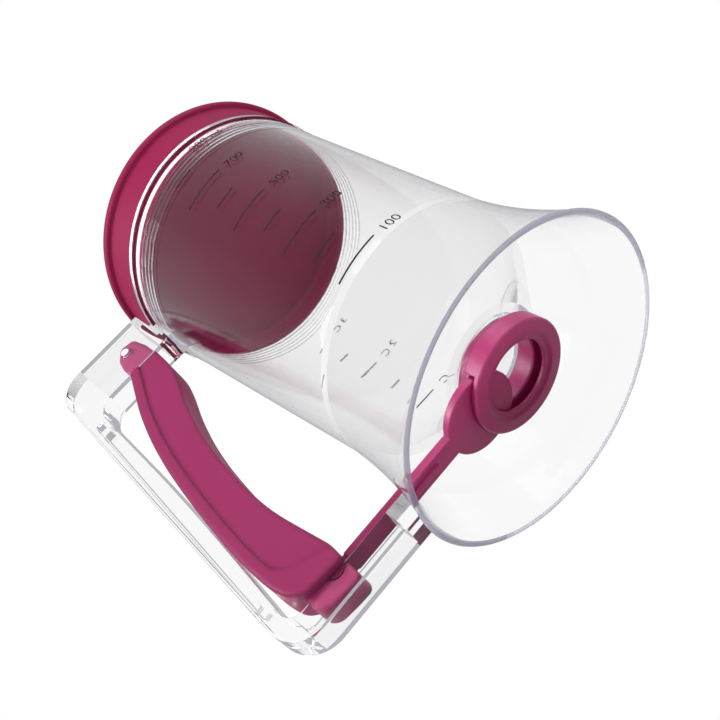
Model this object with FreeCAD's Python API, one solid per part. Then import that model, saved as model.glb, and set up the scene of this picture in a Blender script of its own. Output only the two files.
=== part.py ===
import FreeCAD, Part
import math
import os

V = FreeCAD.Vector
EASED = -1

# Batter dispenser held nozzle up or stood on its skirt. Z runs up from the skirt rim, the handle is on -X.

# Container, radii and heights in mm
rim_radius = 54.0
waist_radius = 46.7
waist_height = 48.2
mouth_radius = 52.4
mouth_height = 162.8
wall = 2.0
bead_reach = 1.0
bead_height = 2.8
flare_sag = 3.9
seat_gap = 0.1
lid_room_drop = 0.5
funnel_drop = 27.0

# Neck, its thread ridges and the outlet
outlet_radius = 12.0
neck_radius = 17.0
neck_end_height = 13.3
ridge_reach = 1.5
ridge_width = 1.3
ridge_heights = (16.0, 18.0)
seat_radius = 14.0
seat_height = 6.7
collar_radius = 20.2
collar_height = 19.2

# Valve slider
valve_gap = 0.3
valve_thickness = 3.0
valve_radius = 13.8
valve_offset = 16.3
strip_thickness = 2.8
strip_half_width = 3.9
strip_rib_height = 0.8
strip_rib_half_width = 1.1
strip_rib_start = 37.0
strip_rib_end = 50.0
bead_radius = 2.8
bead_reach_x = 80.0
bead_half_width = 3.4
strip_shoulder_x = 74.9

# Nozzle cap ring
cap_radius = 19.2
cap_floor = 1.9
cap_bore_clearance = 0.3
cap_back_height = 14.2
cap_recess_depth = 0.8
cap_recess_radius = 14.6
cap_edge = 0.8
slot_side_clearance = 0.6

# Skirt slot for the strip
skirt_slot_side = 2.9
skirt_slot_above = 1.3
skirt_slot_below = 1.4
skirt_slot_corner = 2.4

# Lid
lid_wall_bottom_radius = 53.2
lid_wall_top_radius = 54.0
lid_height = 18.5
flange_radius = 56.2
flange_thickness = 3.5
flange_edge = 1.2
plug_clearance = 0.3
plug_depth = 5.0
lid_wall = 2.2
lid_floor_drop = 13.3
seal_groove_depth = 0.9
seal_height = 2.0
seal_drop = 1.4
seal_clearance = 0.22

# Handle frame
handle_half_width = 5.65
handle_top_rise = 12.1
handle_base_height = 0.3
handle_outer_top = 99.3
handle_outer_bottom = 105.3
handle_outer_corner = 13.0
upper_arm_depth = 27.7
arm_end_x = 40.0
handle_inner_top = 92.4
handle_inner_bottom = 99.6
grip_bow = 1.9
grip_curve_radius = 1200.0
inner_corner_top = 8.5
inner_corner_bottom = 5.0
upper_arm_wall = 1.7
upper_arm_roof = 2.0
hollow_near_x = 57.5
hollow_far_x = 86.0
channel_wall = 1.6
channel_floor = 1.6
channel_far_x = 97.5
channel_near_x = 58.5
handle_edge = 0.8
grip_pocket_depth = 3.4
grip_pocket_inset = 1.5
arm_gap = 0.3

# Trigger and its pivot
pivot_x = 68.6
pivot_drop = 13.4
pin_radius = 1.8
pin_running_clearance = 0.05
head_side_clearance = 0.35
trigger_half_width = 6.4
lip_reach = 0.8
trigger_wall = 1.9
hollow_bottom = 24.0
hollow_top_gap = 6.8
head_radius = 5.0
foot_far_x = 90.8
tongue_top = 20.0
lip_width = 4.2
shoulder_gap = 1.4
tongue_half_width = 3.7
socket_clearance = 0.7
socket_slot_half = 2.15
foot_clearance = 0.4
tongue_clearance = 0.5
tongue_far_x = 92.4
foot_near_x = 76.2

valve_bottom = neck_end_height - valve_gap - valve_thickness
cap_floor_top = valve_bottom - valve_gap
cap_front = cap_floor_top - cap_floor
cap_bore_radius = neck_radius + cap_bore_clearance
arm_top_height = valve_bottom - arm_gap
seat_top = neck_end_height + seat_height
bead_height_z = valve_bottom + strip_thickness / 2
lid_top = mouth_height + lid_height
lid_floor_top = lid_top - lid_floor_drop
handle_top_height = mouth_height + handle_top_rise
upper_arm_under = handle_top_height - upper_arm_depth
pivot_height = handle_top_height - pivot_drop
shoulder_height = upper_arm_under - shoulder_gap
plug_radius = mouth_radius - wall - plug_clearance
head_half_width = handle_half_width - upper_arm_wall - head_side_clearance


def wire_of(steps):
    """Closed wire in XZ: a point is a straight run to it, a pair an arc through the first to the second."""
    edges = []
    here = V(steps[0][0], 0, steps[0][1])
    start = here
    for step in steps[1:] + [steps[0]]:
        if isinstance(step[0], tuple):
            through, end = (V(p[0], 0, p[1]) for p in step)
            edges.append(Part.Arc(here, through, end).toShape())
            here = end
            continue
        end = V(step[0], 0, step[1])
        if here.distanceToPoint(end) > 1e-6:
            edges.append(Part.LineSegment(here, end).toShape())
        here = end
    return Part.Wire(edges)


def lathe(steps):
    return Part.Face(wire_of(steps)).revolve(V(0, 0, 0), V(0, 0, 1), 360)


def rounded(corners):
    """Steps for wire_of from corners x, z and their arc's radius, or EASED for as large as fits."""
    steps = []
    count = len(corners)
    for i, (x, z, radius) in enumerate(corners):
        if radius == 0:
            steps.append((x, z))
            continue
        here = V(x, 0, z)
        back = V(corners[i - 1][0], 0, corners[i - 1][1]) - here
        ahead = V(corners[(i + 1) % count][0], 0, corners[(i + 1) % count][1]) - here
        half = back.getAngle(ahead) / 2
        if radius == EASED:
            radius = 0.45 * min(back.Length, ahead.Length) * math.tan(half)
        along = radius / math.tan(half)
        back.normalize()
        ahead.normalize()
        middle = back + ahead
        middle.normalize()
        near = here + middle * (radius / math.sin(half) - radius)
        first = here + back * along
        last = here + ahead * along
        steps.append((first.x, first.z))
        steps.append(((near.x, near.z), (last.x, last.z)))
    return steps


def plate(wire, half_width):
    face = Part.Face(wire)
    face.translate(V(0, -half_width, 0))
    return face.extrude(V(0, 2 * half_width, 0))


def block(x0, x1, half_width, z0, z1):
    return Part.makeBox(x1 - x0, 2 * half_width, z1 - z0, V(x0, -half_width, z0))


def cross_cylinder(radius, half_width, x, z):
    return Part.makeCylinder(radius, 2 * half_width, V(x, -half_width, z), V(0, 1, 0))


def save(node, shape):
    shape = shape.removeSplitter()
    print(node, "valid", shape.isValid(), "solids", len(shape.Solids), "volume", round(shape.Volume / 1000, 2))
    shape.exportStep("parts/" + node + ".step")


def wall_radius(height):
    """Outer radius of the straight wall above the waist."""
    return waist_radius + (mouth_radius - waist_radius) * (height - waist_height) / (mouth_height - waist_height)


def flare(inset):
    """Middle and end of the skirt's flare, going down, for a wall face that lies inset from the outer one."""
    middle_radius = (rim_radius + waist_radius) / 2 - flare_sag / 2 - inset
    return (middle_radius, waist_height / 2), (rim_radius - inset, 0)


def outer_steps(gap):
    """Outer face from the rim bead down to the skirt rim, moved out by gap."""
    under = mouth_height - bead_height - gap
    middle, end = flare(-gap)
    return [
        (mouth_radius + bead_reach + gap, mouth_height),
        (mouth_radius + bead_reach + gap, under),
        (wall_radius(under) + gap, under),
        (waist_radius + gap, waist_height),
        (middle, end),
    ]


def container():
    funnel_top = waist_height - wall / 2
    inner_up, inner_end = flare(wall)
    ridges = []
    for height in reversed(ridge_heights):
        middle = (neck_radius + ridge_reach, height - ridge_width / 2)
        ridges.append((neck_radius, height))
        ridges.append((middle, (neck_radius, height - ridge_width)))
    steps = outer_steps(0) + [
        inner_end,
        (inner_up, (waist_radius - wall, funnel_top - wall)),
        (collar_radius, collar_height),
        (neck_radius, collar_height),
    ]
    steps += ridges + [
        (neck_radius, neck_end_height),
        (seat_radius + seat_gap, neck_end_height),
        (seat_radius + seat_gap, seat_top + seat_gap),
        (outlet_radius, seat_top + seat_gap),
        (outlet_radius, waist_height - funnel_drop),
        (waist_radius - wall, waist_height),
        (mouth_radius - wall, mouth_height),
    ]
    body = lathe(steps)
    slot = block(
        -rim_radius - wall,
        -waist_radius + 3 * wall,
        strip_half_width + skirt_slot_side,
        valve_bottom - skirt_slot_below,
        valve_bottom + strip_thickness + skirt_slot_above,
    )
    along = [e for e in slot.Edges if abs(e.Vertexes[0].X - e.Vertexes[1].X) > 1]
    return body.cut(slot.makeFillet(skirt_slot_corner, along))


def envelope():
    """The container's outer form without its hollow, grown by the seat gap, which the handle's ends meet."""
    return lathe([(0, 0), (0, mouth_height)] + outer_steps(seat_gap))


def handle_frame():
    outer = rounded(
        [
            (-arm_end_x, handle_top_height, 0),
            (-handle_outer_top, handle_top_height, handle_outer_corner),
            (-handle_outer_bottom, handle_base_height, handle_outer_corner),
            (-arm_end_x, handle_base_height, 0),
        ]
    )
    frame = plate(wire_of(outer), handle_half_width)
    bow_height = (upper_arm_under + arm_top_height) / 2
    opening = rounded(
        [
            (0, arm_top_height, 0),
            (-handle_inner_bottom, arm_top_height, inner_corner_bottom),
            (-handle_inner_top - grip_bow, bow_height, grip_curve_radius),
            (-handle_inner_top, upper_arm_under, inner_corner_top),
            (0, upper_arm_under, 0),
        ]
    )
    frame = frame.cut(plate(wire_of(opening), handle_half_width + 1))
    rims = [e for e in frame.Edges if abs(abs(e.CenterOfMass.y) - handle_half_width) < 0.01]
    rims = [e for e in rims if e.CenterOfMass.x < -arm_end_x - 0.01]
    frame = frame.makeFillet(handle_edge, rims)
    hollow_half = handle_half_width - upper_arm_wall
    hollow_roof = handle_top_height - upper_arm_roof
    frame = frame.cut(block(-hollow_far_x, -hollow_near_x, hollow_half, upper_arm_under - 5, hollow_roof))
    channel_half = handle_half_width - channel_wall
    frame = frame.cut(
        block(-channel_far_x, -channel_near_x, channel_half, handle_base_height + channel_floor, arm_top_height + 6)
    )
    pocket = rounded(
        [
            (-handle_inner_bottom - grip_pocket_inset, arm_top_height + 12, 0.8),
            (-handle_outer_bottom + grip_pocket_inset, arm_top_height + 12, 0.8),
            (-handle_outer_top + grip_pocket_inset, upper_arm_under - 8, 0.8),
            (-handle_inner_top - grip_pocket_inset, upper_arm_under - 8, 0.8),
            (-handle_inner_top - grip_bow - grip_pocket_inset, bow_height, grip_curve_radius),
        ]
    )
    for side in (-1, 1):
        cut = plate(wire_of(pocket), grip_pocket_depth / 2)
        cut.translate(V(0, side * (handle_half_width - grip_pocket_depth / 2), 0))
        frame = frame.cut(cut)
    frame = frame.cut(cross_cylinder(pin_radius + pin_running_clearance, 20, -pivot_x, pivot_height))
    lid_room = Part.makeCylinder(lid_wall_top_radius + 0.6, 2 * lid_height, V(0, 0, mouth_height - lid_room_drop))
    return frame.cut(envelope()).cut(lid_room)


def lid():
    dish_radius = lid_wall_bottom_radius - lid_wall
    flange_bottom = lid_top - flange_thickness
    groove_top = mouth_height - seal_drop
    plug_end = mouth_height - plug_depth
    steps = rounded(
        [
            (lid_wall_bottom_radius, mouth_height, 0.5),
            (lid_wall_top_radius, flange_bottom, 0),
            (flange_radius, flange_bottom, flange_edge),
            (flange_radius, lid_top, flange_edge),
            (dish_radius + 0.6, lid_top, 1.0),
            (dish_radius, lid_floor_top, 2.0),
            (0, lid_floor_top, 0),
            (0, lid_floor_top - lid_wall, 0),
            (plug_radius - lid_wall, lid_floor_top - lid_wall, 2.0),
            (plug_radius - lid_wall, plug_end, 0.6),
            (plug_radius, plug_end, 0.6),
            (plug_radius, groove_top - seal_height, 0),
            (plug_radius - seal_groove_depth, groove_top - seal_height, 0),
            (plug_radius - seal_groove_depth, groove_top, 0),
            (plug_radius, groove_top, 0),
            (plug_radius, mouth_height, 0),
        ]
    )
    return lathe(steps)


def lid_seal():
    groove_top = mouth_height - seal_drop
    inner = plug_radius - seal_groove_depth
    outer = plug_radius + plug_clearance - seal_clearance
    steps = rounded(
        [
            (inner, groove_top, 0),
            (outer, groove_top, 0.4),
            (outer, groove_top - seal_height, 0.4),
            (inner, groove_top - seal_height, 0),
        ]
    )
    return lathe(steps)


def nozzle_cap():
    steps = rounded(
        [
            (outlet_radius, cap_front + cap_recess_depth, 0),
            (outlet_radius, cap_floor_top, 0),
            (cap_bore_radius, cap_floor_top, 0),
            (cap_bore_radius, cap_back_height, 0),
            (cap_radius, cap_back_height, 0.4),
            (cap_radius, cap_front, cap_edge),
            (cap_recess_radius, cap_front, 0.4),
            (cap_recess_radius - 1.0, cap_front + cap_recess_depth, 0.4),
        ]
    )
    ring = lathe(steps)
    slot = block(-2 * cap_radius, 0, valve_radius + slot_side_clearance, cap_floor_top, cap_back_height + 1)
    return ring.cut(slot)


def valve_seat():
    steps = rounded(
        [
            (outlet_radius, neck_end_height, 0.3),
            (outlet_radius, seat_top, 0.6),
            (seat_radius, seat_top, 0.3),
            (seat_radius, neck_end_height, 0.3),
        ]
    )
    return lathe(steps)


def valve_slider():
    top = valve_bottom + valve_thickness
    disc = Part.makeCylinder(valve_radius, valve_thickness, V(-valve_offset, 0, valve_bottom))
    disc = disc.makeFillet(0.6, [e for e in disc.Edges if e.Curve.TypeId == "Part::GeomCircle"])
    strip_top = valve_bottom + strip_thickness
    strip_start = -valve_offset - valve_radius / 2
    strip = block(-strip_shoulder_x, strip_start, strip_half_width, valve_bottom, strip_top)
    tail = block(-bead_reach_x, -strip_shoulder_x + 1, bead_half_width, valve_bottom, strip_top)
    bead = cross_cylinder(bead_radius, bead_half_width, -bead_reach_x, bead_height_z)
    rib = block(-strip_rib_end, -strip_rib_start, strip_rib_half_width, valve_bottom - strip_rib_height, top - 1)
    return disc.fuse(strip).fuse(tail).fuse(bead).fuse(rib)


def arc_foot(radius, x):
    """Height at x of a circle about the pivot, below it."""
    return pivot_height - math.sqrt(radius**2 - (x + pivot_x) ** 2)


# The trigger's edges from side on: shares of the reach to the grip and of the shoulder's height

outer_edge = [
    (0.8009, 1.0000),
    (0.8398, 0.9396),
    (0.8972, 0.8505),
    (0.9459, 0.7476),
    (0.9848, 0.6310),
    (1.0108, 0.5144),
    (1.0325, 0.3841),
    (1.0455, 0.2606),
    (1.0433, 0.1646),
    (1.0271, 0.1084),
]
inner_edge = [
    (0.8160, 0.1097),
    (0.8333, 0.1852),
    (0.8550, 0.2881),
    (0.8528, 0.4115),
    (0.8268, 0.5624),
    (0.7922, 0.6722),
    (0.7468, 0.7682),
    (0.6991, 0.8436),
    (0.6667, 0.9122),
    (0.6580, 1.0000),
]


# The head's corners about the pivot, with their radii, as shares of the head radius
head_shares = [(-1.16, -1.5, 0.4), (-0.88, -0.2, 0.5), (-0.04, 1.0, 0.5), (1.2, 0.7, 0.6), (1.52, -1.1, 0.6)]


def lever_edge(shares):
    """Corners of an edge, eased but for the one on the shoulder."""
    return [(-handle_inner_top * x, shoulder_height * z, 0 if z == 1 else EASED) for x, z in shares]


def trigger():
    foot_radius = pivot_height - arm_top_height - foot_clearance
    foot_middle_x = (foot_far_x + foot_near_x) / 2
    foot = [(x, arc_foot(foot_radius, x), EASED) for x in (-foot_far_x, -foot_middle_x)]
    foot.append((-foot_near_x, arc_foot(foot_radius, -foot_near_x), 1.2))
    outer = lever_edge(outer_edge)
    inner = lever_edge(inner_edge)
    outline = wire_of(rounded(outer + foot + inner))
    lever = plate(outline, trigger_half_width)
    hollow_half = trigger_half_width - trigger_wall
    hollow = plate(Part.Face(outline).makeOffset2D(-trigger_wall).OuterWire, hollow_half)
    open_side = hollow.copy()
    open_side.translate(V(-2.5 * trigger_wall, 0, 0))
    hollow = hollow.fuse(open_side).common(
        block(-handle_outer_bottom, -rim_radius, hollow_half, hollow_bottom, shoulder_height - hollow_top_gap)
    )
    lip = [(x + lip_width, z, radius) for x, z, radius in outer[:-1]]
    lip = rounded(outer + foot + inner[:1] + lip[::-1])
    lever = lever.fuse(plate(wire_of(lip), trigger_half_width + lip_reach)).cut(hollow)
    head = [(-pivot_x + head_radius * x, pivot_height + head_radius * z, head_radius * r) for x, z, r in head_shares]
    root = shoulder_height - trigger_wall * 2
    head = [(head[0][0] + trigger_wall, root, 0)] + head + [(head[-1][0], root, 0)]
    head = rounded(head)
    lever = lever.fuse(plate(wire_of(head), head_half_width))
    tongue_radius = pivot_height - handle_base_height - channel_floor - tongue_clearance
    tongue = rounded(
        [
            (-foot_far_x, tongue_top, 0),
            (-tongue_far_x, arc_foot(tongue_radius, -tongue_far_x), 5.0),
            (-foot_middle_x, arc_foot(tongue_radius, -foot_middle_x), 0),
            (-foot_near_x, arc_foot(tongue_radius, -foot_near_x), 2.5),
            (-foot_near_x, tongue_top - 4, 0),
        ]
    )
    lever = lever.fuse(plate(wire_of(tongue), tongue_half_width))
    socket_half = bead_half_width + 0.5
    socket = cross_cylinder(bead_radius + socket_clearance, socket_half, -bead_reach_x, bead_height_z)
    slot_low = bead_height_z - socket_slot_half
    mouth = block(-bead_reach_x, -60, socket_half, slot_low, bead_height_z + socket_slot_half)
    lever = lever.cut(socket).cut(mouth)
    return lever.cut(cross_cylinder(pin_radius + pin_running_clearance, 20, -pivot_x, pivot_height))


def pivot_pin():
    return cross_cylinder(pin_radius, handle_half_width, -pivot_x, pivot_height)


os.makedirs("parts", exist_ok=True)
save("container", container())
save("handle_frame", handle_frame())
save("lid", lid())
save("lid_seal", lid_seal())
save("nozzle_cap", nozzle_cap())
save("valve_seat", valve_seat())
save("valve_slider", valve_slider())
save("trigger", trigger())
save("pivot_pin", pivot_pin())
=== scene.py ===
import math

import bpy
import numpy as np
from mathutils import Matrix, Vector


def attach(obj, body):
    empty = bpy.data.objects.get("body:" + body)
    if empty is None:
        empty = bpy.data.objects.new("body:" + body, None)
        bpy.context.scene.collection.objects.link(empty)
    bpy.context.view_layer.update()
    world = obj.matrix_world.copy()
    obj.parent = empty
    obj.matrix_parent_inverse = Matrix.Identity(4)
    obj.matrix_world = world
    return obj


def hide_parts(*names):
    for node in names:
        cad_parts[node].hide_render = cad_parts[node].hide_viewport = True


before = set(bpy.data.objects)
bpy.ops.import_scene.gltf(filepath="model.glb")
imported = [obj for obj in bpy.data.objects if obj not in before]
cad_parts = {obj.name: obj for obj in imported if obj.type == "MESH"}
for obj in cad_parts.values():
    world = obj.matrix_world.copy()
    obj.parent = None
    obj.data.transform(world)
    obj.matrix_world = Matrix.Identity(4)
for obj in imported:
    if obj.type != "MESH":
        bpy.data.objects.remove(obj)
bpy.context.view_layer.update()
mm = 0.001
fullTurn = 2 * math.pi
sharpAngle = math.radians(32.0)
print("frame loaded")

# Meshes


# Smooth piece from points in mm: metres = mm * 0.001, with edges sharp where faces turn by over sharpAngle.
def newPiece(name, verts, faces, material, body):
    mesh = bpy.data.meshes.new(name)
    mesh.from_pydata((np.asarray(verts) * mm).tolist(), [], faces)
    mesh.polygons.foreach_set("use_smooth", np.ones(len(mesh.polygons), dtype=bool))
    mesh.set_sharp_from_angle(angle=sharpAngle)
    mesh.update()
    piece = bpy.data.objects.new(name, mesh)
    bpy.context.scene.collection.objects.link(piece)
    mesh.materials.append(material)
    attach(piece, body)
    return piece


# Rows of a profile: radii beside heights.
def rows(radii, heights):
    return np.column_stack(np.broadcast_arrays(radii, heights))


# Closed profile from corners (r, z, radius): a corner becomes the arc of its radius that touches both sides,
# with the centre radius / sin(half the corner's angle) away from it.
def softened(corners, steps=6):
    points = []
    shares = np.linspace(0, 1, steps)[:, None]
    for i, (r, z, radius) in enumerate(corners):
        here = np.array([r, z], float)
        if radius == 0:
            points.append(here)
            continue
        back = np.array(corners[i - 1][:2], float) - here
        ahead = np.array(corners[(i + 1) % len(corners)][:2], float) - here
        back /= np.linalg.norm(back)
        ahead /= np.linalg.norm(ahead)
        half = math.acos(np.clip(back @ ahead, -1, 1)) / 2
        middle = (back + ahead) / np.linalg.norm(back + ahead)
        centre = here + middle * radius / math.sin(half)
        first = here + back * radius / math.tan(half) - centre
        last = here + ahead * radius / math.tan(half) - centre
        spokes = first * (1 - shares) + last * shares
        points.append(centre + spokes * radius / np.linalg.norm(spokes, axis=1, keepdims=True))
    return np.vstack(points)


# Points of the circle through three points, without the ends.
def arcThrough(first, middle, last, count):
    a, b, c = (np.array(p, float) for p in (first, middle, last))
    centre = np.linalg.solve(2 * np.array([b - a, c - a]), [b @ b - a @ a, c @ c - a @ a])
    angles = [math.atan2(*(p - centre)[::-1]) for p in (a, b, c)]
    span = (angles[2] - angles[0] + math.pi) % fullTurn - math.pi
    turns = angles[0] + span * np.linspace(0, 1, count + 2)[1:-1]
    return centre + np.linalg.norm(a - centre) * np.column_stack([np.cos(turns), np.sin(turns)])


# Grid of a profile turned about Z: x = r cos a, y = r sin a, z = z.
def turned(profile, azimuths):
    radii, heights = profile.T
    across = np.outer(np.cos(azimuths), radii)
    along = np.outer(np.sin(azimuths), radii)
    up = np.tile(heights, (len(azimuths), 1))
    return np.stack([across, along, up], axis=-1).reshape(-1, 3)


# Quads between neighbouring profile points on neighbouring turns, without those that cut marks.
def turnedFaces(profileCount, turnCount, reverse, cut=None):
    turn, point = np.meshgrid(np.arange(turnCount), np.arange(profileCount), indexing="ij")
    here = turn * profileCount
    over = (turn + 1) % turnCount * profileCount
    ahead = (point + 1) % profileCount
    faces = np.stack([here + point, here + ahead, over + ahead, over + point], axis=-1)
    faces = faces.reshape(-1, 4) if cut is None else faces[~cut]
    return (faces[:, ::-1] if reverse else faces).tolist()


# True where the profile runs counterclockwise in the r, z plane, so that its faces need turning over.
def windsLeft(profile):
    radii, heights = profile.T
    return float(np.sum(radii * np.roll(heights, -1) - np.roll(radii, -1) * heights)) > 0


# Materials


# Material with its tree, its Principled node and its output.
def newMaterial(name):
    material = bpy.data.materials.new(name)
    material.use_nodes = True
    tree = material.node_tree
    return material, tree, tree.nodes["Principled BSDF"], tree.nodes["Material Output"]


# Math node over two inputs, each a socket or a plain number.
def addMath(tree, operation, first, second):
    node = tree.nodes.new("ShaderNodeMath")
    node.operation = operation
    for socket, value in zip(node.inputs, (first, second)):
        if isinstance(value, bpy.types.NodeSocket):
            tree.links.new(value, socket)
        else:
            socket.default_value = value
    return node.outputs[0]


# Shader = first * (1 - share) + second * share.
def addMix(tree, share, first, second):
    mix = tree.nodes.new("ShaderNodeMixShader")
    for socket, source in zip(mix.inputs, (share, first, second)):
        tree.links.new(source, socket)
    return mix.outputs["Shader"]


grainForm = {"fineDetail": 3.0, "broadScale": 45.0, "edgeSamples": 4}


# Fine moulding grain: height = fine noise in object space, roughness = base + spread * broad noise.
def grainGroup():
    group = bpy.data.node_groups.new("mouldGrain", "ShaderNodeTree")
    for name, way in (
        ("Scale", "INPUT"),
        ("Rough Base", "INPUT"),
        ("Rough Spread", "INPUT"),
        ("Height", "OUTPUT"),
        ("Roughness", "OUTPUT"),
    ):
        group.interface.new_socket(name=name, in_out=way, socket_type="NodeSocketFloat")
    nodes, links = group.nodes, group.links
    source = nodes.new("NodeGroupInput")
    sink = nodes.new("NodeGroupOutput")
    place = nodes.new("ShaderNodeTexCoord")
    fine = nodes.new("ShaderNodeTexNoise")
    broad = nodes.new("ShaderNodeTexNoise")
    fine.inputs["Detail"].default_value = grainForm["fineDetail"]
    broad.inputs["Scale"].default_value = grainForm["broadScale"]
    spread = nodes.new("ShaderNodeMath")
    spread.operation = "MULTIPLY_ADD"
    links.new(place.outputs["Object"], fine.inputs["Vector"])
    links.new(place.outputs["Object"], broad.inputs["Vector"])
    links.new(source.outputs["Scale"], fine.inputs["Scale"])
    links.new(broad.outputs[0], spread.inputs[0])
    links.new(source.outputs["Rough Spread"], spread.inputs[1])
    links.new(source.outputs["Rough Base"], spread.inputs[2])
    links.new(fine.outputs[0], sink.inputs["Height"])
    links.new(spread.outputs[0], sink.inputs["Roughness"])
    return group


mouldGrain = grainGroup()


# Grain of a finish: noise scale, roughness and its spread, bump strength and depth, shaded edge radius.
def addGrain(tree, shader, form):
    grain = tree.nodes.new("ShaderNodeGroup")
    grain.node_tree = mouldGrain
    grain.inputs["Scale"].default_value = form["grain"]
    grain.inputs["Rough Base"].default_value = form["rough"]
    grain.inputs["Rough Spread"].default_value = form["roughSpread"]
    bump = tree.nodes.new("ShaderNodeBump")
    bump.inputs["Strength"].default_value = form["bump"]
    bump.inputs["Distance"].default_value = form["bumpDepth"]
    tree.links.new(grain.outputs["Height"], bump.inputs["Height"])
    tree.links.new(grain.outputs["Roughness"], shader.inputs["Roughness"])
    if "edgeRadius" in form:
        bevel = tree.nodes.new("ShaderNodeBevel")
        bevel.samples = grainForm["edgeSamples"]
        bevel.inputs["Radius"].default_value = form["edgeRadius"]
        tree.links.new(bevel.outputs["Normal"], bump.inputs["Normal"])
    tree.links.new(bump.outputs["Normal"], shader.inputs["Normal"])


clearForm = {
    "ior": 1.35,
    "mirrorTint": (0.2, 0.2, 0.22),
    "facingBlend": 0.5,
    # face is the plastic's own pale tint; edge and the turning stop are painted shade towards grazing edges
    "face": (0.941, 0.941, 0.944),
    "edge": (0.45, 0.44, 0.5),
    "faceUpTo": 0.55,
    "turning": 0.88,
    "turningShare": 0.25,
    "edgeFrom": 0.99,
    "shadow": (0.97, 0.97, 0.98),
    # grey glow painted where deep rays end, in place of the light they would bring
    "deepPaintedGlow": (0.45, 0.44, 0.49),
    "deepest": 9.5,
    "mostMirrored": 2.5,
    "grain": 900.0,
    "rough": 0.015,
    "roughSpread": 0.03,
    "bump": 0.02,
    "bumpDepth": 0.0001,
}


# Clear plastic: refracts, its colour darkens from face to edge with the facing angle, which is painted
# shade, and lets lamp light by.
# A ray that met more than deepest faces, or mirrored more than mostMirrored times, ends in a grey emission:
# painted light that stands in for the light such a ray would bring back.
def clearPlastic(name, form):
    material, tree, shader, output = newMaterial(name)
    shader.inputs["Transmission Weight"].default_value = 1.0
    shader.inputs["IOR"].default_value = form["ior"]
    shader.inputs["Specular Tint"].default_value = (*form["mirrorTint"], 1)
    facing = tree.nodes.new("ShaderNodeLayerWeight")
    facing.inputs["Blend"].default_value = form["facingBlend"]
    # Painted shade: the base colour darkens from the pale tint at faces to violet-grey at grazing edges
    tintAndEdgeShade = tree.nodes.new("ShaderNodeValToRGB")
    face, edge = np.array(form["face"]), np.array(form["edge"])
    stops = tintAndEdgeShade.color_ramp.elements
    stops[0].position = form["faceUpTo"]
    stops[0].color = (*face, 1)
    stops[1].position = form["edgeFrom"]
    stops[1].color = (*edge, 1)
    stops.new(form["turning"]).color = (*(face + (edge - face) * form["turningShare"]), 1)
    tree.links.new(facing.outputs["Facing"], tintAndEdgeShade.inputs["Fac"])
    tree.links.new(tintAndEdgeShade.outputs["Color"], shader.inputs["Base Color"])
    addGrain(tree, shader, form)
    path = tree.nodes.new("ShaderNodeLightPath")
    clear = tree.nodes.new("ShaderNodeBsdfTransparent")
    clear.inputs["Color"].default_value = (*form["shadow"], 1)
    # Painted light: a grey glow where rays go too deep or mirror too often
    glow = tree.nodes.new("ShaderNodeEmission")
    glow.inputs["Color"].default_value = (*form["deepPaintedGlow"], 1)
    deep = addMath(tree, "GREATER_THAN", path.outputs["Ray Depth"], form["deepest"])
    mirrored = addMath(tree, "GREATER_THAN", path.outputs["Glossy Depth"], form["mostMirrored"])
    either = addMath(tree, "MAXIMUM", deep, mirrored)
    body = addMix(tree, either, shader.outputs["BSDF"], glow.outputs["Emission"])
    mix = addMix(tree, path.outputs["Is Shadow Ray"], body, clear.outputs["BSDF"])
    tree.links.new(mix, output.inputs["Surface"])
    return material


skinForm = {
    "subsurface": 0.12,
    "subsurfaceRadius": (1.0, 0.1, 0.25),
    "subsurfaceScale": 0.0015,
    "grain": 700.0,
    "roughSpread": 0.12,
    "bump": 0.015,
    "bumpDepth": 0.0002,
}
magentaForms = {
    "magentaPlastic": {"colour": (0.235, 0.01, 0.078), "rough": 0.34, "gloss": 0.35, "edgeRadius": 0.0005},
    "lidPlastic": {"colour": (0.25, 0.008, 0.058), "rough": 0.5, "gloss": 0.18, "edgeRadius": 0.0005},
    "leverPlastic": {"colour": (0.26, 0.014, 0.09), "rough": 0.38, "gloss": 0.35, "edgeRadius": 0.0028},
}


# Opaque moulded plastic with a little light carried under its skin.
def colouredPlastic(name):
    form = {**skinForm, **magentaForms[name]}
    material, tree, shader, _ = newMaterial(name)
    shader.inputs["Base Color"].default_value = (*form["colour"], 1)
    shader.inputs["Subsurface Weight"].default_value = form["subsurface"]
    shader.inputs["Subsurface Radius"].default_value = form["subsurfaceRadius"]
    shader.inputs["Subsurface Scale"].default_value = form["subsurfaceScale"]
    shader.inputs["Specular IOR Level"].default_value = form["gloss"]
    addGrain(tree, shader, form)
    return material


rimForm = {
    "colour": (0.37, 0.355, 0.46),
    "cover": 0.55,
    "grain": 900.0,
    "rough": 0.12,
    "roughSpread": 0.05,
    "bump": 0.02,
    "bumpDepth": 0.0001,
}


# The skirt's cut edge, where light that runs down the wall comes out tinted: look = colour * cover over what
# lies behind it.
def rimPlastic(name, form):
    material, tree, shader, _ = newMaterial(name)
    shader.inputs["Base Color"].default_value = (*form["colour"], 1)
    shader.inputs["Alpha"].default_value = form["cover"]
    addGrain(tree, shader, form)
    return material


matteForm = {"grain": 1200.0, "roughSpread": 0.1, "bump": 0.1, "bumpDepth": 0.0002}
matteForms = {
    "paleSeal": {"colour": (0.8, 0.77, 0.79), "rough": 0.5, "gloss": 0.5},
    "palePin": {"colour": (0.85, 0.84, 0.87), "rough": 0.4, "gloss": 0.5},
    "greyPrint": {"colour": (0.035, 0.02, 0.03), "rough": 0.9, "gloss": 0.05},
}


# Seal, pin and print: one colour with a fine grain.
def plainMatte(name):
    form = {**matteForm, **matteForms[name]}
    material, tree, shader, _ = newMaterial(name)
    shader.inputs["Base Color"].default_value = (*form["colour"], 1)
    shader.inputs["Specular IOR Level"].default_value = form["gloss"]
    addGrain(tree, shader, form)
    return material


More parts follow.
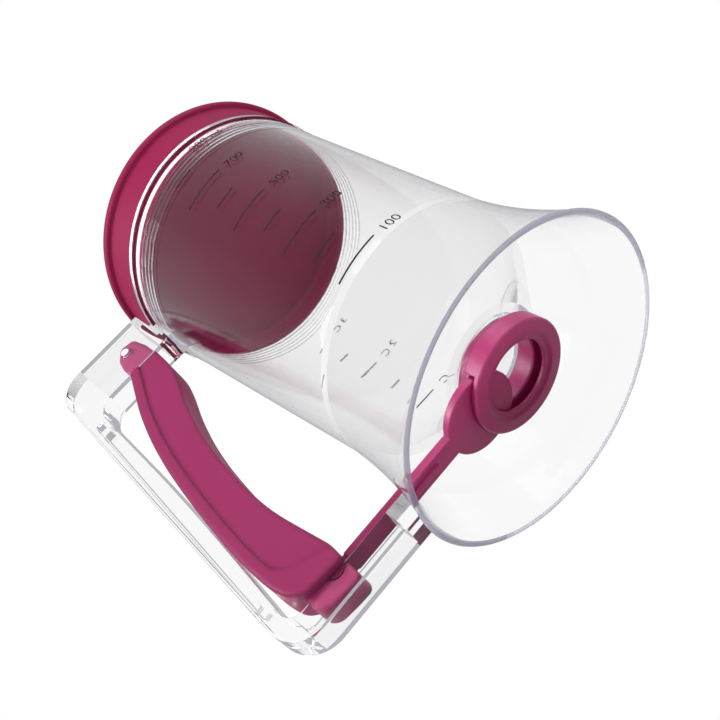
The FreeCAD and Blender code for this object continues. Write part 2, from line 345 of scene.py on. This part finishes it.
clearLook = clearPlastic("clearPlastic", clearForm)
colourLook = colouredPlastic("magentaPlastic")
lidLook = colouredPlastic("lidPlastic")
leverLook = colouredPlastic("leverPlastic")
rimLook = rimPlastic("rimEdge", rimForm)
sealLook = plainMatte("paleSeal")
pinLook = plainMatte("palePin")
printLook = plainMatte("greyPrint")

nodeLooks = {
    "handle_frame": clearLook,
    "nozzle_cap": colourLook,
    "valve_slider": colourLook,
    "trigger": leverLook,
    "pivot_pin": pinLook,
    "valve_seat": colourLook,
    "lid_seal": sealLook,
    "container": clearLook,
    "lid": lidLook,
}
for node, look in nodeLooks.items():
    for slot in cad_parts[node].material_slots:
        slot.material = look
print("materials")

# Container: turned wall, skirt, funnel and neck, with the strip's slot in the skirt. Lengths in mm.

containerForm = {
    "rim": 54.0,
    "rimEdge": 0.5,
    "rimFaceHeight": 0.4,  # faces under this height are the cut edge
    "waist": 46.7,
    "waistHeight": 48.2,
    "waistSwell": ((0.08, 1.5), (0.02, 0.0)),  # added radius, height over the waist
    "waistWalls": 1.5,  # drop of the skirt's inside at the waist, in walls
    "waistInside": (1.0, 0.9),  # the funnel's top corner, in from the wall and down
    "mouth": 52.4,
    "mouthHeight": 162.8,
    "wall": 2.0,
    "beadReach": 1.0,
    "beadHeight": 2.8,
    "beadChamfer": (0.3, 0.4),
    "flareMiddle": 48.4,
    "flareSamples": 60,
    "flareRows": 26,
    "innerRowsDrop": 3.5,
    "funnelDrop": 27.0,
    "outlet": 12.0,
    "neck": 17.0,
    "neckEnd": 13.3,
    "seatBore": 14.1,
    "seatTop": 20.1,
    "collar": 20.2,
    "collarHeight": 19.2,
    "ridgeHeights": (18.0, 16.0),
    "ridgeWidth": 1.3,
    "ridgeReach": 1.5,
    "ridgeSteps": 7,
    "slotLow": 8.6,
    "slotHigh": 14.1,
    "slotHalfWidth": 6.8,
    "slotRadius": 51.0,
    "slotTurns": 8,
    "slotRowsOut": (7.5, 15.0),  # no plain rows between these heights
    "slotMargin": 0.01,
    "skirtFrom": 45.0,  # profile points past this radius belong to the skirt
    "ribTop": 159.0,
    "ribPitch": 2.5,
    "ribCount": 5,
    "ribReach": 0.22,
    "ribRows": 8,
    "ribRunOut": 1.0,
    "wallStart": 4.0,
    "outerRows": 22,
    "insideRows": 24,
    "turns": 240,
}


# r = waist + (mouth - waist) * share of the height between them.
def wallRadius(height):
    form = containerForm
    share = (height - form["waistHeight"]) / (form["mouthHeight"] - form["waistHeight"])
    return form["waist"] + (form["mouth"] - form["waist"]) * share


# Fine rib: lift = reach * (sine of the height's share of the pitch) squared.
def ribLift(height):
    form = containerForm
    return form["ribReach"] * np.sin(math.pi * (form["ribTop"] - height) / form["ribPitch"]) ** 2


# Skirt radii at the given heights: the circle through rim, middle and waist, moved in by inset.
def flareRow(inset, heights):
    form = containerForm
    top = form["waistHeight"] - (form["waistWalls"] * form["wall"] if inset else 0)
    middle = (form["flareMiddle"], form["waistHeight"] / 2)
    ends = np.array([(form["waist"], top), middle, (form["rim"], 0)])
    dense = np.vstack([ends[:1], arcThrough(*ends, form["flareSamples"]), ends[2:]])
    radii, levels = dense[::-1].T
    return rows(np.interp(heights, levels, radii) - inset, heights)


# Profile from the rim bead down the outside, up inside the skirt, down the neck and up inside the funnel.
def containerProfile():
    form = containerForm
    waist, waistHeight, wall = form["waist"], form["waistHeight"], form["wall"]
    rim, edge, neck = form["rim"], form["rimEdge"], form["neck"]
    under = form["mouthHeight"] - form["beadHeight"]
    reach = form["mouth"] + form["beadReach"]
    chamferReach, chamferHeight = form["beadChamfer"]
    ribLow = form["ribTop"] - form["ribCount"] * form["ribPitch"]
    ribs = np.linspace(form["ribTop"], ribLow, form["ribCount"] * form["ribRows"] + 1)
    plainWall = np.linspace(ribLow - form["ribRunOut"], waistHeight + form["wallStart"], form["outerRows"])
    falling = np.linspace(waistHeight, 0, form["flareRows"])[1:-1]
    rowsLow, rowsHigh = form["slotRowsOut"]
    falling = falling[(falling <= rowsLow) | (falling >= rowsHigh)]
    falling = np.sort(np.append(falling, (form["slotHigh"], form["slotLow"])))[::-1]
    rising = np.sort(falling[falling < waistHeight - form["innerRowsDrop"]])
    cornerIn, cornerDrop = form["waistInside"]
    inside = np.linspace(waistHeight + form["wallStart"], form["mouthHeight"], form["insideRows"])
    parts = [
        [(reach, form["mouthHeight"]), (reach, under + chamferHeight), (reach - chamferReach, under)],
        [(wallRadius(under), under)],
        rows(wallRadius(ribs) + ribLift(ribs), ribs),
        rows(wallRadius(plainWall), plainWall),
        [(waist + swell, waistHeight + rise) for swell, rise in form["waistSwell"]],
        flareRow(0, falling),
        [(rim, edge), (rim - edge, 0), (rim - wall + edge, 0), (rim - wall, edge)],
        flareRow(wall, rising),
        [(waist - wall, waistHeight - form["waistWalls"] * wall), (form["collar"], form["collarHeight"])],
        [(neck, form["collarHeight"])],
    ]
    for height in form["ridgeHeights"]:
        high, low = (neck, height), (neck, height - form["ridgeWidth"])
        middle = (neck + form["ridgeReach"], height - form["ridgeWidth"] / 2)
        parts += [[high], arcThrough(high, middle, low, form["ridgeSteps"]), [low]]
    parts += [
        [(neck, form["neckEnd"]), (form["seatBore"], form["neckEnd"])],
        [(form["seatBore"], form["seatTop"]), (form["outlet"], form["seatTop"])],
        [(form["outlet"], waistHeight - form["funnelDrop"])],
        [(waist - wall - cornerIn, waistHeight - cornerDrop), (waist - wall, waistHeight)],
        rows(wallRadius(inside) - wall, inside),
    ]
    return np.vstack(parts)


# Even turns round the wall, with slotTurns more between the slot's two sides, which lie either side of -X.
def containerTurns():
    form = containerForm
    half = math.asin(form["slotHalfWidth"] / form["slotRadius"])
    around = np.linspace(math.pi + half, 3 * math.pi - half, form["turns"] - form["slotTurns"])
    across = np.linspace(3 * math.pi - half, 3 * math.pi + half, form["slotTurns"] + 2)[1:-1]
    return np.concatenate([around, across])


# Turned profile without the faces that lie in the slot, closed by the slot's own walls.
def buildContainer():
    form = containerForm
    profile = containerProfile()
    azimuths = containerTurns()
    count, turnCount = len(profile), len(azimuths)
    heights = profile[:, 1]
    following = np.roll(heights, -1)
    inSlot = np.minimum(heights, following) > form["slotLow"] - form["slotMargin"]
    inSlot &= np.maximum(heights, following) < form["slotHigh"] + form["slotMargin"]
    inSlot &= profile[:, 0] > form["skirtFrom"]
    firstCut = form["turns"] - form["slotTurns"] - 1
    cut = np.zeros((turnCount, count), dtype=bool)
    cut[firstCut:] = inSlot
    reverse = windsLeft(profile)
    faces = turnedFaces(count, turnCount, reverse, cut)
    # The slot's four walls: roof and floor turn by turn, then both sides
    outerTop, innerLow = np.flatnonzero(inSlot)[[0, -1]]
    outerLow, innerTop = outerTop + 1, innerLow + 1
    here = np.arange(firstCut, turnCount) * count
    over = np.arange(firstCut + 1, turnCount + 1) % turnCount * count
    roof = np.stack([here + outerTop, over + outerTop, over + innerTop, here + innerTop], axis=-1)
    floor = np.stack([here + outerLow, here + innerLow, over + innerLow, over + outerLow], axis=-1)
    side = np.array([outerTop, innerTop, innerLow, outerLow])
    across = np.stack([roof, floor], axis=1).reshape(-1, 4)
    slotFaces = np.vstack([across, firstCut * count + side, side[::-1]])
    faces += (slotFaces[:, ::-1] if reverse else slotFaces).tolist()
    verts = turned(profile, azimuths)
    piece = newPiece("containerBody", verts, faces, clearLook, "container_body")
    piece.data.materials.append(rimLook)
    centres = np.empty(3 * len(piece.data.polygons), dtype=np.float32)
    piece.data.polygons.foreach_get("center", centres)
    cutEdge = centres[2::3] < form["rimFaceHeight"] * mm
    piece.data.polygons.foreach_set("material_index", cutEdge.astype(np.int32))
    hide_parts("container")


buildContainer()
print("container")

# Lid: dished top, rolled flange, straight wall and plug ring with the seal's groove

lidForm = {
    "hem": 53.2,
    "hemEdge": 0.5,
    "bottom": 162.9,
    "wallTop": 53.9,
    "wallTopDrop": 0.2,
    "wallTopEdge": 0.4,
    "flange": 56.2,
    "flangeDepth": 3.5,
    "flangeEdge": 1.2,
    "top": 181.3,
    "thickness": 2.2,
    "dishFlare": 0.6,
    "brimEdge": 1.0,
    "floorTop": 168.0,
    "floorEdge": 2.0,
    "pole": 0.01,
    "plug": 50.1,
    "plugEnd": 157.8,
    "plugEdge": 0.6,
    "grooveRadius": 49.2,
    "grooveLow": 159.4,
    "grooveHigh": 161.4,
    "turns": 240,
}


# Turned profile: inner radii = outer radii - thickness, and the floor's underside = floorTop - thickness.
def buildLid():
    form = lidForm
    flangeLow = form["top"] - form["flangeDepth"]
    dish = form["hem"] - form["thickness"]
    plugInner = form["plug"] - form["thickness"]
    floorUnder = form["floorTop"] - form["thickness"]
    corners = [
        (form["hem"], form["bottom"], form["hemEdge"]),
        (form["wallTop"], flangeLow - form["wallTopDrop"], form["wallTopEdge"]),
        (form["flange"], flangeLow, form["flangeEdge"]),
        (form["flange"], form["top"], form["flangeEdge"]),
        (dish + form["dishFlare"], form["top"], form["brimEdge"]),
        (dish, form["floorTop"], form["floorEdge"]),
        (form["pole"], form["floorTop"], 0),
        (form["pole"], floorUnder, 0),
        (plugInner, floorUnder, form["floorEdge"]),
        (plugInner, form["plugEnd"], form["plugEdge"]),
        (form["plug"], form["plugEnd"], form["plugEdge"]),
        (form["plug"], form["grooveLow"], 0),
        (form["grooveRadius"], form["grooveLow"], 0),
        (form["grooveRadius"], form["grooveHigh"], 0),
        (form["plug"], form["grooveHigh"], 0),
        (form["plug"], form["bottom"], 0),
    ]
    profile = softened(corners)
    azimuths = np.linspace(0, fullTurn, form["turns"], endpoint=False)
    faces = turnedFaces(len(profile), form["turns"], windsLeft(profile))
    verts = turned(profile, azimuths)
    piece = newPiece("lidShell", verts, faces, lidLook, "lid_body")
    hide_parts("lid")


buildLid()
print("lid")

# Thin lip of the valve seat over the neck's end

seatLipForm = {"bore": 12.2, "reach": 16.9, "low": 13.08, "high": 13.28, "turns": 120}


# Flat ring from bore to reach, between low and high.
def buildSeatLip():
    form = seatLipForm
    bore, reach, low, high = (form[key] for key in ("bore", "reach", "low", "high"))
    profile = np.array([(bore, low), (reach, low), (reach, high), (bore, high)])
    azimuths = np.linspace(0, fullTurn, form["turns"], endpoint=False)
    faces = turnedFaces(len(profile), form["turns"], windsLeft(profile))
    verts = turned(profile, azimuths)
    newPiece("seatLip", verts, faces, colourLook, "container_body")


buildSeatLip()
print("seat lip")

# Two printed scales with plain figures: millilitres on the -Y side and cups on the +Y side

wallScales = {
    "millilitres": {
        "azimuth": 259.7,
        "first": 48.2,
        "pitch": 14.01,
        "marks": 8,
        "longHalf": 9.2,
        "shortHalf": 4.6,
        "figureStart": 11.7,
        "figures": (("100", 0), ("300", 2), ("500", 4), ("700", 6), ("900 ml", 7.7)),
    },
    "cups": {
        "azimuth": 97.0,
        "first": 64.0,
        "pitch": 16.55,
        "marks": 5,
        "longHalf": 4.6,
        "shortHalf": 2.4,
        "figureStart": -16.5,
        "figures": (("1 C", 0), ("2 C", 2), ("3 C", 4)),
    },
}
printForm = {
    "markHeight": 0.75,
    "lift": 0.06,
    "figureHeight": 4.0,
    "sizePerHeight": 1.35,
    "curveSteps": 3,
    "steps": 12,
}


# Points of the wall at arc lengths along it from the scale's centre line, lifted off by the print's lift.
def onWall(scale, along, heights):
    along, heights = np.broadcast_arrays(along, heights)
    radii = wallRadius(np.maximum(heights, containerForm["waistHeight"])) + printForm["lift"]
    angles = math.radians(scale["azimuth"]) + along / radii
    return np.stack([radii * np.cos(angles), radii * np.sin(angles), heights], axis=-1)


# Marks: bands markHeight tall, every other one long, each bent round the wall in steps.
def buildMarks(name, scale):
    steps = printForm["steps"]
    numbers = np.arange(scale["marks"])[:, None, None]
    halves = np.where(numbers % 2 == 0, scale["longHalf"], scale["shortHalf"])
    along = halves * np.linspace(-1, 1, steps + 1)[:, None]
    heights = scale["first"] + scale["pitch"] * numbers + np.array([0, printForm["markHeight"]])
    verts = onWall(scale, along, heights).reshape(-1, 3)
    starts = numbers * 2 * (steps + 1) + 2 * np.arange(steps)[:, None]
    faces = (starts + np.array([0, 2, 3, 1])).reshape(-1, 4).tolist()
    newPiece(name + "Marks", verts, faces, printLook, "container_body")


# Figures: flat text bent round the wall, width as arc length, its foot half a figure under the given height.
def buildFigure(name, scale, text, height):
    curve = bpy.data.curves.new(name + "Source", "FONT")
    curve.body = text
    curve.size = printForm["figureHeight"] * printForm["sizePerHeight"]
    curve.resolution_u = printForm["curveSteps"]
    source = bpy.data.objects.new(name + "Source", curve)
    bpy.context.scene.collection.objects.link(source)
    bpy.context.view_layer.update()
    depsgraph = bpy.context.evaluated_depsgraph_get()
    flat = bpy.data.meshes.new_from_object(source.evaluated_get(depsgraph))
    bpy.data.objects.remove(source)
    bpy.data.curves.remove(curve)
    places = np.empty(3 * len(flat.vertices), dtype=np.float32)
    flat.vertices.foreach_get("co", places)
    across, up = places.reshape(-1, 3)[:, :2].T.astype(float)
    faces = [list(p.vertices) for p in flat.polygons]
    bpy.data.meshes.remove(flat)
    low = height - printForm["figureHeight"] / 2
    bent = onWall(scale, scale["figureStart"] + across, low + up)
    newPiece(name, bent, faces, printLook, "container_body")


for name, scale in wallScales.items():
    buildMarks(name, scale)
    for number, (text, step) in enumerate(scale["figures"]):
        buildFigure("%sFigure%d" % (name, number + 1), scale, text, scale["first"] + scale["pitch"] * step)
print("scales")

# Floor, seen only from above, and the white surround. Lengths in metres.

stageForm = {
    "half": 1.5,
    "drop": 0.0004,
    "colour": (0.9, 0.9, 0.9),
    "rough": 0.9,
    "backdrop": 1.0,
    "ambient": 0.45,
}


# Square with sides of 2 * half, drop under the object, and clear where it is seen from below.
def buildFloor():
    half = stageForm["half"]
    mesh = bpy.data.meshes.new("floor")
    corners = [(-half, -half), (half, -half), (half, half), (-half, half)]
    mesh.from_pydata([(x, y, -stageForm["drop"]) for x, y in corners], [], [[0, 1, 2, 3]])
    floor = bpy.data.objects.new("floor", mesh)
    bpy.context.scene.collection.objects.link(floor)
    material, tree, shader, output = newMaterial("floorLook")
    shader.inputs["Base Color"].default_value = (*stageForm["colour"], 1)
    shader.inputs["Roughness"].default_value = stageForm["rough"]
    geometry = tree.nodes.new("ShaderNodeNewGeometry")
    clear = tree.nodes.new("ShaderNodeBsdfTransparent")
    mix = addMix(tree, geometry.outputs["Backfacing"], shader.outputs["BSDF"], clear.outputs["BSDF"])
    tree.links.new(mix, output.inputs["Surface"])
    mesh.materials.append(material)


# Strength = backdrop for camera and transmission rays, and ambient for all others.
def buildWorld():
    world = bpy.data.worlds.new("surround")
    bpy.context.scene.world = world
    world.use_nodes = True
    tree = world.node_tree
    back = tree.nodes["Background"]
    back.inputs["Color"].default_value = (1, 1, 1, 1)
    path = tree.nodes.new("ShaderNodeLightPath")
    strength = tree.nodes.new("ShaderNodeMapRange")
    strength.inputs["To Min"].default_value = stageForm["ambient"]
    strength.inputs["To Max"].default_value = stageForm["backdrop"]
    seen = addMath(tree, "MAXIMUM", path.outputs["Is Camera Ray"], path.outputs["Is Transmission Ray"])
    tree.links.new(seen, strength.inputs["Value"])
    tree.links.new(strength.outputs["Result"], back.inputs["Strength"])


lampForms = {
    "keyLamp": {"place": (-0.7, -0.5, 0.45), "target": (0, 0, 0.09), "size": 0.5, "power": 6.5},
    "fillLamp": {"place": (0.5, -0.8, 0.3), "target": (0, 0, 0.09), "size": 0.7, "power": 5.0},
    "underLamp": {"place": (-0.2, -0.5, -0.5), "target": (0, 0, 0.06), "size": 0.5, "power": 1.5},
}


# Square lamp at place whose -Z axis points along target - place.
def addLamp(name, form):
    data = bpy.data.lights.new(name, "AREA")
    data.size = form["size"]
    data.energy = form["power"]
    lamp = bpy.data.objects.new(name, data)
    bpy.context.scene.collection.objects.link(lamp)
    lamp.location = form["place"]
    aim = Vector(form["target"]) - Vector(form["place"])
    lamp.rotation_euler = aim.to_track_quat("-Z", "Y").to_euler()


buildFloor()
buildWorld()
for name, form in lampForms.items():
    addLamp(name, form)

cameraForm = {
    "place": (-87.7, -206.4, -142.6),
    "right": (0.6529, 0.4192, -0.6307),
    "forward": (0.2242, 0.6885, 0.6897),
    "lens": 43.565,
    "sensor": 36.0,
    "nearest": 0.01,
}


# Camera axes: back = -forward and up = back x right, as the columns of its rotation.
def buildCamera():
    form = cameraForm
    data = bpy.data.cameras.new("camera")
    data.lens = form["lens"]
    data.sensor_width = form["sensor"]
    data.clip_start = form["nearest"]
    camera = bpy.data.objects.new("camera", data)
    bpy.context.scene.collection.objects.link(camera)
    back = -Vector(form["forward"]).normalized()
    right = Vector(form["right"]).normalized()
    turn = Matrix((right, back.cross(right), back)).transposed().to_4x4()
    camera.matrix_world = Matrix.Translation(Vector(form["place"]) * mm) @ turn
    bpy.context.scene.camera = camera


buildCamera()
bpy.context.scene.view_settings.view_transform = "Standard"
print("stage")
